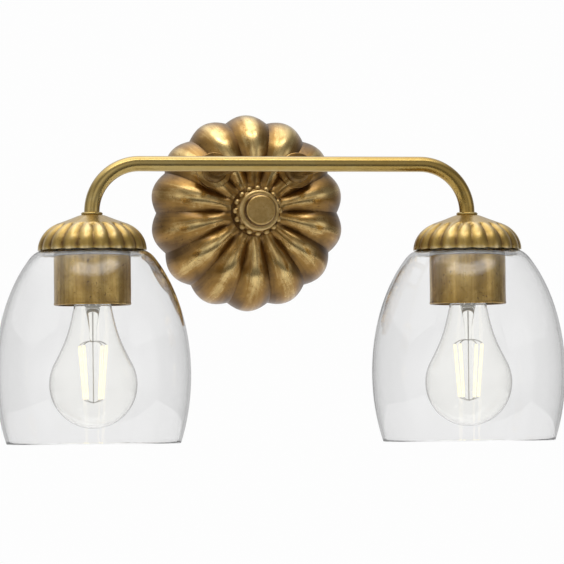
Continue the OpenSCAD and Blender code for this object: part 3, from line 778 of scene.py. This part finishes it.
def make_cup(side):
    cup_r = (high("lower_gasket_left").x - low("lower_gasket_left").x) / 2 + 0.2 * MM
    inside = cup_r - CUP_SHEET
    outline = rounded([(CUP_THREAD_R, cup_high, 0.3 * MM), (cup_r, cup_high, 1.0 * MM),
                       (cup_r, cup_low + 1.7 * MM, 0.4 * MM),
                       (cup_r + 0.3 * MM, cup_low + 0.9 * MM, 0.6 * MM),
                       (cup_r - 0.1 * MM, cup_low, 0.5 * MM),
                       (inside - 0.4 * MM, cup_low, 0.4 * MM),
                       (inside - 0.4 * MM, cup_low + 0.9 * MM, 0.4 * MM),
                       (inside, cup_low + 1.6 * MM, 0.3 * MM),
                       (inside, cup_high - CUP_THREAD_H, 0.5 * MM),
                       (CUP_THREAD_R, cup_high - CUP_THREAD_H, 0.3 * MM)])
    cup = object_from(f"socket_cup_{side}_shell", mesh_of(
        "socket_cup", [turned(outline, on_lamp(side), 128)]))
    x, y = lamp_x[side], lamp_y

    def patina_and_shade(co):
        # Darker inside the cup and towards its bottom edge
        edge = max(0.0, 1 - (co.z - cup_low) / (5 * MM))
        inner = 0.4 if math.hypot(co.x - x, co.y - y) < inside + 0.3 * MM else 0.0
        return min(1.0, 0.35 * edge + inner)

    store(cup, "patina_and_shade", patina_and_shade)
    store_vector(cup, "grain", tuple)
    piece(cup, cup_brass, f"cup_{side}", "aged_brass_cup", f"socket_cup_{side}")


# ---------- bulbs ----------

NECK_R = 12.6 * MM
NECK_TOP = base_low - 0.4 * MM
NECK_PLUG_R = 11.8 * MM
NECK_JOIN = math.radians(28)
BULB_WALL = 0.8 * MM


def bulb_line(inset):
    """One skin of the bulb from its neck in the base down to its lowest point."""
    centre = bulb_low + bulb_r
    p0 = Vector((NECK_R, NECK_TOP))
    p1 = Vector((NECK_R + 4 * MM, NECK_TOP - 20 * MM))
    p3 = Vector((bulb_r * math.cos(NECK_JOIN), centre + bulb_r * math.sin(NECK_JOIN)))
    p2 = p3 + 17 * MM * Vector((-math.sin(NECK_JOIN), math.cos(NECK_JOIN)))
    line = [(NECK_PLUG_R - inset, stem_high), (NECK_PLUG_R - inset, base_low - 0.1 * MM)]
    for k in range(28):
        t = k / 28
        q = (p0 * (1 - t) ** 3 + p1 * 3 * t * (1 - t) ** 2 + p2 * 3 * t * t * (1 - t) + p3 * t ** 3)
        line.append((q.x - inset, q.y))
    for k in range(33):
        a = NECK_JOIN - (math.pi / 2 + NECK_JOIN) * k / 32
        r = bulb_r - inset
        line.append((max(0.0, r * math.cos(a)), centre + r * math.sin(a)))
    return line


def make_bulb_glass(side):
    outline = bulb_line(0.0) + bulb_line(BULB_WALL)[::-1]
    glass = object_from(f"bulb_glass_{side}_blown", mesh_of(
        "bulb_glass", [turned(outline, on_lamp(side), 128)]), 60)
    piece(glass, lamp_glass, f"lamp_{side}", "lamp_glass", f"bulb_glass_{side}")


def make_stem(side):
    outline = rounded([(0, stem_low, 0), (2.2 * MM, stem_low + 0.3 * MM, 1.2 * MM),
                       (2.6 * MM, stem_low + 8 * MM, 3 * MM), (3.4 * MM, stem_low + 14 * MM, 3 * MM),
                       (5.4 * MM, stem_high - 5 * MM, 3 * MM), (8.4 * MM, stem_high - 1.5 * MM, MM),
                       (8.4 * MM, stem_high, 0), (0, stem_high, 0)])
    stem = object_from(f"bulb_stem_{side}_flare", mesh_of(
        "bulb_stem", [turned(outline, on_lamp(side), 48, closed=False)]), 60)
    piece(stem, stem_glass, f"lamp_{side}", "lamp_stem_glass", f"bulb_stem_{side}")


FILAMENTS = 4
FILAMENT_TOP_R = 11 * MM
FILAMENT_LOW_R = 7.4 * MM
FILAMENT_R = 1.0 * MM
SUPPORT_WIRE_R = 0.35 * MM


def filament_point(side, i, r, z):
    a = math.radians(45 + 360 / FILAMENTS * i)
    return Vector((lamp_x[side] + r * math.cos(a), lamp_y + r * math.sin(a), z))


def stick(start, end, radius):
    """A round stick with rounded ends."""
    along = (end - start).normalized()
    length = (end - start).length
    steps = [(0.0, 0.05), (0.15, 0.55), (0.4, 0.85), (1.0, 1.0)]
    stops = [(s * radius, k) for s, k in steps]
    stops += [(length - s * radius, k) for s, k in steps[::-1]]
    across = along.orthogonal().normalized()
    other = along.cross(across)
    rings = [[start + along * d + radius * k * (math.cos(math.pi * i / 8) * across
                                                + math.sin(math.pi * i / 8) * other)
              for i in range(16)] for d, k in stops]
    return skin(rings, capped=True)


def make_filaments(side):
    parts = []
    for i in range(FILAMENTS):
        parts.append(stick(filament_point(side, i, FILAMENT_TOP_R, filament_high),
                           filament_point(side, i, FILAMENT_LOW_R, filament_low), FILAMENT_R))
    sticks = object_from(f"bulb_filaments_{side}_sticks", mesh_of("bulb_filaments", parts))
    piece(sticks, filament_glow, f"lamp_{side}", "lamp_filament", f"bulb_filaments_{side}")


def make_bulb_leads(side):
    wire, gap = SUPPORT_WIRE_R, Vector((0, 0, 0.45 * MM))
    x = lamp_x[side]
    hub = Vector((x, lamp_y, stem_low - wire))
    foot = Vector((x, lamp_y, leads_low + wire))
    parts = [swept([foot, Vector((x, lamp_y, stem_low + 20 * MM))], wire, 12)]
    for i in range(FILAMENTS):
        top = filament_point(side, i, FILAMENT_TOP_R, filament_high) + gap
        low_end = filament_point(side, i, FILAMENT_LOW_R, filament_low) - gap
        for start, end in ((hub, top), (foot, low_end)):
            bow = Vector((0, 0, 1.2 * MM if end is top else -0.3 * MM))
            route = [start.lerp(end, k / 10) + bow * math.sin(math.pi * k / 10) for k in range(11)]
            parts.append(swept(route, wire, 12))
    leads = object_from(f"bulb_leads_{side}_wires", mesh_of("bulb_leads", parts))
    piece(leads, wire_steel, f"lamp_{side}", "lamp_support_wire", f"bulb_leads_{side}")


for side in SIDES:
    make_arm_collar(side)
    make_cap(side)
    make_shade(side)
    make_cup(side)
    make_bulb_glass(side)
    make_stem(side)
    make_filaments(side)
    make_bulb_leads(side)


# ---------- CAD nodes that keep their shape ----------

def finish_node(node, material):
    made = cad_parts[node]
    made.data.materials.clear()
    made.data.materials.append(material)
    made.data.polygons.foreach_set("material_index", [0] * len(made.data.polygons))


for node, material in (("mounting_strap", zinc), ("ground_screw", green_paint),
                       ("ground_wire", copper), ("threaded_nipple", zinc),
                       ("nipple_lock_nut", zinc), ("post_nuts", zinc)):
    finish_node(node, material)
for side in SIDES:
    for kind, material in (("cap_lock_nut", zinc), ("holder_cap", zinc),
                           ("lamp_holder", porcelain), ("terminal_screws", contact),
                           ("centre_contact", contact), ("screw_shell", contact),
                           ("lead_wires", lead_skin), ("upper_gasket", rubber),
                           ("lower_gasket", rubber), ("bulb_base", lamp_cap),
                           ("bulb_insulator", black_glass), ("bulb_tip", lamp_cap)):
        finish_node(f"{kind}_{side}", material)


# ---------- floor, lights and camera ----------

FLOOR_Z = -0.42
FLOOR_SIDE = 1.6
FLOOR_FRONT = -0.75


def make_floor():
    corners = [(-FLOOR_SIDE, FLOOR_FRONT, FLOOR_Z), (FLOOR_SIDE, FLOOR_FRONT, FLOOR_Z),
               (FLOOR_SIDE, FLOOR_SIDE, FLOOR_Z), (-FLOOR_SIDE, FLOOR_SIDE, FLOOR_Z)]
    mesh = mesh_of("floor", [(corners, [(0, 1, 2, 3)])])
    floor = bpy.data.objects.new("floor", mesh)
    bpy.context.scene.collection.objects.link(floor)
    n = Nodes("floor_paint")
    n.set(Base_Color=(0.9, 0.9, 0.9, 1.0), Roughness=0.9)
    mesh.materials.append(n.material)


def softbox(name, place, target, size, power):
    light = bpy.data.lights.new(name, "AREA")
    light.shape = "RECTANGLE"
    light.size, light.size_y = size
    light.energy = power
    made = bpy.data.objects.new(name, light)
    made.location = place
    made.rotation_mode = "QUATERNION"
    made.rotation_quaternion = (Vector(target) - Vector(place)).to_track_quat("-Z", "Y")
    made.visible_camera = False
    bpy.context.scene.collection.objects.link(made)


def make_lights():
    softbox("overhead", (-0.1, 0.1, 1.3), (0, -0.06, 0), (1.2, 0.8), 3.0)


# Soft lamps round the studio, seen in reflections: direction, cosine of the angle where the lamp
# starts, cosine where it is full, strength
STUDIO_LAMPS = (
    ((-0.1, 0.15, 1.0), 0.55, 0.96, 1.15),
    ((-0.95, -0.25, 0.2), 0.80, 0.97, 0.40),
    ((-0.76, -0.64, 0.0), 0.90, 0.985, 0.40),
    ((0.80, -0.60, 0.1), 0.90, 0.985, 0.55),
    ((-0.12, -0.95, 0.25), 0.93, 0.995, 0.40),
)
LOW_LAMP = ((-0.2, -0.45, -0.85), 0.87, 0.975, 0.95)
STRIP_STRENGTH = 3.4
THROUGH_GLASS = 0.96


def make_world():
    """A pale studio. The camera sees it as white, also through glass. Reflections and soft
    light come from a dimmer room: brighter in front and behind than at the sides, with a dark
    band low in front, soft lamps, one lamp from below, and a bright strip high in front."""
    world = bpy.data.worlds.new("studio")
    bpy.context.scene.world = world
    world.use_nodes = True
    tree = world.node_tree
    background = tree.nodes["Background"]

    def math_node(operation, a, b):
        made = tree.nodes.new("ShaderNodeMath")
        made.operation = operation
        for value, socket in ((a, made.inputs[0]), (b, made.inputs[1])):
            if isinstance(value, (int, float)):
                socket.default_value = value
            else:
                tree.links.new(value, socket)
        return made.outputs[0]

    def smooth(value, start, end, low_value, high_value):
        made = tree.nodes.new("ShaderNodeMapRange")
        made.interpolation_type = "SMOOTHSTEP"
        for key, number in (("From Min", start), ("From Max", end), ("To Min", low_value),
                            ("To Max", high_value)):
            made.inputs[key].default_value = number
        tree.links.new(value, made.inputs["Value"])
        return made.outputs["Result"]

    def lamp(towards, start, full, strength):
        dot = tree.nodes.new("ShaderNodeVectorMath")
        dot.operation = "DOT_PRODUCT"
        tree.links.new(direction, dot.inputs[0])
        dot.inputs[1].default_value = Vector(towards).normalized()
        return smooth(dot.outputs["Value"], start, full, 0.0, strength)

    direction = tree.nodes.new("ShaderNodeTexCoord").outputs["Generated"]
    split = tree.nodes.new("ShaderNodeSeparateXYZ")
    tree.links.new(direction, split.inputs[0])
    total = math_node("ADD", smooth(split.outputs["Y"], -0.95, -0.45, 0.44, 0.21),
                      smooth(split.outputs["Y"], 0.2, 0.9, 0.0, 0.40))
    for numbers in STUDIO_LAMPS:
        total = math_node("ADD", total, lamp(*numbers))
    in_front = smooth(split.outputs["Y"], 0.1, -0.3, 0.0, 0.62)
    dark_band = math_node("MULTIPLY", in_front, smooth(split.outputs["Z"], 0.0, -0.2, 0.0, 1.0))
    total = math_node("MULTIPLY", total, math_node("SUBTRACT", 1.0, dark_band))
    total = math_node("ADD", total, lamp(*LOW_LAMP))
    strip = math_node("MULTIPLY", smooth(split.outputs["Z"], 0.83, 0.885, 0.0, 1.0),
                      smooth(split.outputs["Z"], 0.955, 0.915, 0.0, STRIP_STRENGTH))
    strip = math_node("MULTIPLY", strip, smooth(split.outputs["Y"], -0.12, -0.28, 0.0, 1.0))
    total = math_node("ADD", total, strip)
    path = tree.nodes.new("ShaderNodeLightPath").outputs
    mirrored = math_node("MINIMUM", path["Glossy Depth"], 1.0)
    unmirrored = math_node("SUBTRACT", 1.0, mirrored)
    through = math_node("MULTIPLY", path["Is Transmission Ray"], unmirrored)
    seen = math_node("MAXIMUM", path["Is Camera Ray"],
                     math_node("MULTIPLY", through, THROUGH_GLASS))
    tree.links.new(math_node("MAXIMUM", seen, total), background.inputs["Strength"])
    background.inputs["Color"].default_value = (0.985, 0.985, 0.985, 1.0)


def make_camera():
    """Stands to the left of the middle and a little below it, with a long lens."""
    yaw, pitch, roll = math.radians(12.57), math.radians(1.95), math.radians(-0.56)
    distance = 4.0
    focal_length = 368.2
    target = Vector((0.012, -0.06, -0.0505))
    ahead = Vector((math.sin(yaw) * math.cos(pitch), math.cos(yaw) * math.cos(pitch),
                    math.sin(pitch)))
    level = Vector((math.cos(yaw), -math.sin(yaw), 0))
    up = level.cross(ahead)
    right = level * math.cos(roll) + up * math.sin(roll)
    up = up * math.cos(roll) - level * math.sin(roll)
    data = bpy.data.cameras.new("camera")
    data.sensor_width = 36
    data.lens = focal_length
    data.clip_end = 50
    camera = bpy.data.objects.new("camera", data)
    camera.matrix_world = Matrix.Translation(target - ahead * distance) @ Matrix(
        (right, up, -ahead)).transposed().to_4x4()
    bpy.context.scene.collection.objects.link(camera)
    bpy.context.scene.camera = camera


make_floor()
make_lights()
make_world()
make_camera()
bpy.context.scene.view_settings.view_transform = "Standard"

bpy.context.view_layer.update()
